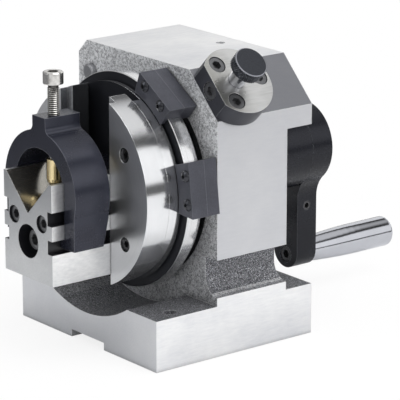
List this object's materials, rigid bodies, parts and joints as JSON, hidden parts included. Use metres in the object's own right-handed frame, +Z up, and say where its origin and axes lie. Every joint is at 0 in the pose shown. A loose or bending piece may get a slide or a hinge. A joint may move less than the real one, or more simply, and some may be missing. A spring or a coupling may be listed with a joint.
{
  "type": "punch former",
  "caption": "Hand-cranked indexing former that turns a punch clamped in a vee block so that its end can be ground to radii and angles.",
  "frame": {"origin": "under the spindle line, on the plane that the base stands on, at the front face of the base; this point lies in the mouth of the keyway", "axes": "+Y from the vee block back to the crank along the spindle, +Z up, +X to the right seen from the vee block; spindle line at x = 0, z = 0.080"},
  "size_m": [0.127, 0.2324, 0.153],
  "materials": {
    "cast_body": "silver hammertone paint on the cast walls, milled bare faces",
    "ground_steel": "ground and turned bare steel",
    "turned_steel": "turned bare steel",
    "black_steel": "satin black oxide",
    "screw_black": "black oxide socket screws",
    "bright_chrome": "polished",
    "bright_screw": "bright plated",
    "tip_brass": "turned brass",
    "spring_wire": "drawn wire",
    "black_knob": "black oxide, knurled"
  },
  "bodies": {
    "frame": {"housing": "cast_body", "fixed_stop_pin": "ground_steel", "front_bearing": "turned_steel", "rear_bearing": "turned_steel", "rear_cover": "black_steel", "rear_cover_screws": "screw_black", "plunger_block": "ground_steel", "plunger_block_screws": "screw_black", "plunger_side_screw": "screw_black", "plunger_bush": "turned_steel", "plunger_spring": "spring_wire"},
    "spindle": {"spindle": "ground_steel", "slide_rail_left": "ground_steel", "slide_rail_right": "ground_steel", "rail_screws": "screw_black", "stop_ring": "ground_steel", "index_drum": "turned_steel", "drum_key": "screw_black", "spacer_sleeve": "turned_steel", "lock_nut": "screw_black", "rear_collar": "black_steel", "collar_set_screw": "screw_black", "crank_arm": "black_steel", "crank_washer": "screw_black", "crank_screw": "screw_black", "arm_set_screw": "screw_black", "handle_screw": "screw_black"},
    "upper_stop": {"upper_stop_jaw": "black_steel", "upper_stop_back": "black_steel", "upper_stop_screws": "black_steel"},
    "lower_stop": {"lower_stop_jaw": "black_steel", "lower_stop_back": "black_steel", "lower_stop_screws": "black_steel"},
    "slide": {"t_slide": "black_steel", "vee_block": "ground_steel", "vee_block_screws": "screw_black", "slide_clamp_screw": "bright_screw"},
    "yoke": {"clamp_yoke": "black_steel"},
    "tip": {"clamp_tip": "tip_brass"},
    "screw": {"clamp_screw": "bright_screw"},
    "handle": {"handle_grip": "bright_chrome"},
    "plunger": {"plunger_pin": "bright_chrome", "plunger_knob": "black_knob"}
  },
  "joints": [
    {"name": "spindle_turn", "type": "hinge", "parent": "frame", "child": "spindle", "pos_m": [0, 0.08, 0.08], "axis": [0, -1, 0], "range_deg": [-210, 45]},
    {"name": "upper_stop_set", "type": "hinge", "parent": "spindle", "child": "upper_stop", "pos_m": [0, 0.027, 0.08], "axis": [0, -1, 0], "range_deg": [-5, 5]},
    {"name": "lower_stop_set", "type": "hinge", "parent": "spindle", "child": "lower_stop", "pos_m": [0, 0.027, 0.08], "axis": [0, -1, 0], "range_deg": [-5, 5]},
    {"name": "slide_lift", "type": "slide", "parent": "spindle", "child": "slide", "axis": [0, 0, 1], "range_m": [-0.012, 0.006]},
    {"name": "yoke_slide", "type": "slide", "parent": "slide", "child": "yoke", "axis": [0, 1, 0], "range_m": [-0.007, 0.0063]},
    {"name": "tip_press", "type": "slide", "parent": "yoke", "child": "tip", "axis": [0, 0, 1], "range_m": [-0.0065, 0.005]},
    {"name": "screw_turn", "type": "hinge", "parent": "tip", "child": "screw", "pos_m": [0, -0.0169, 0.11], "axis": [0, 0, 1], "range_deg": [-2340, 1800]},
    {"name": "handle_spin", "type": "hinge", "parent": "spindle", "child": "handle", "pos_m": [0, 0.17, 0.0208], "axis": [0, -1, 0], "continuous": true},
    {"name": "plunger_push", "type": "slide", "parent": "frame", "child": "plunger", "axis": [0.7071, 0, 0.7071], "range_m": [-0.006, 0], "deforming": ["plunger_spring"]}
  ],
  "couplings": [
    {"joint": "screw_turn", "follows": "tip_press", "rad_per_m": 6283.2}
  ]
}
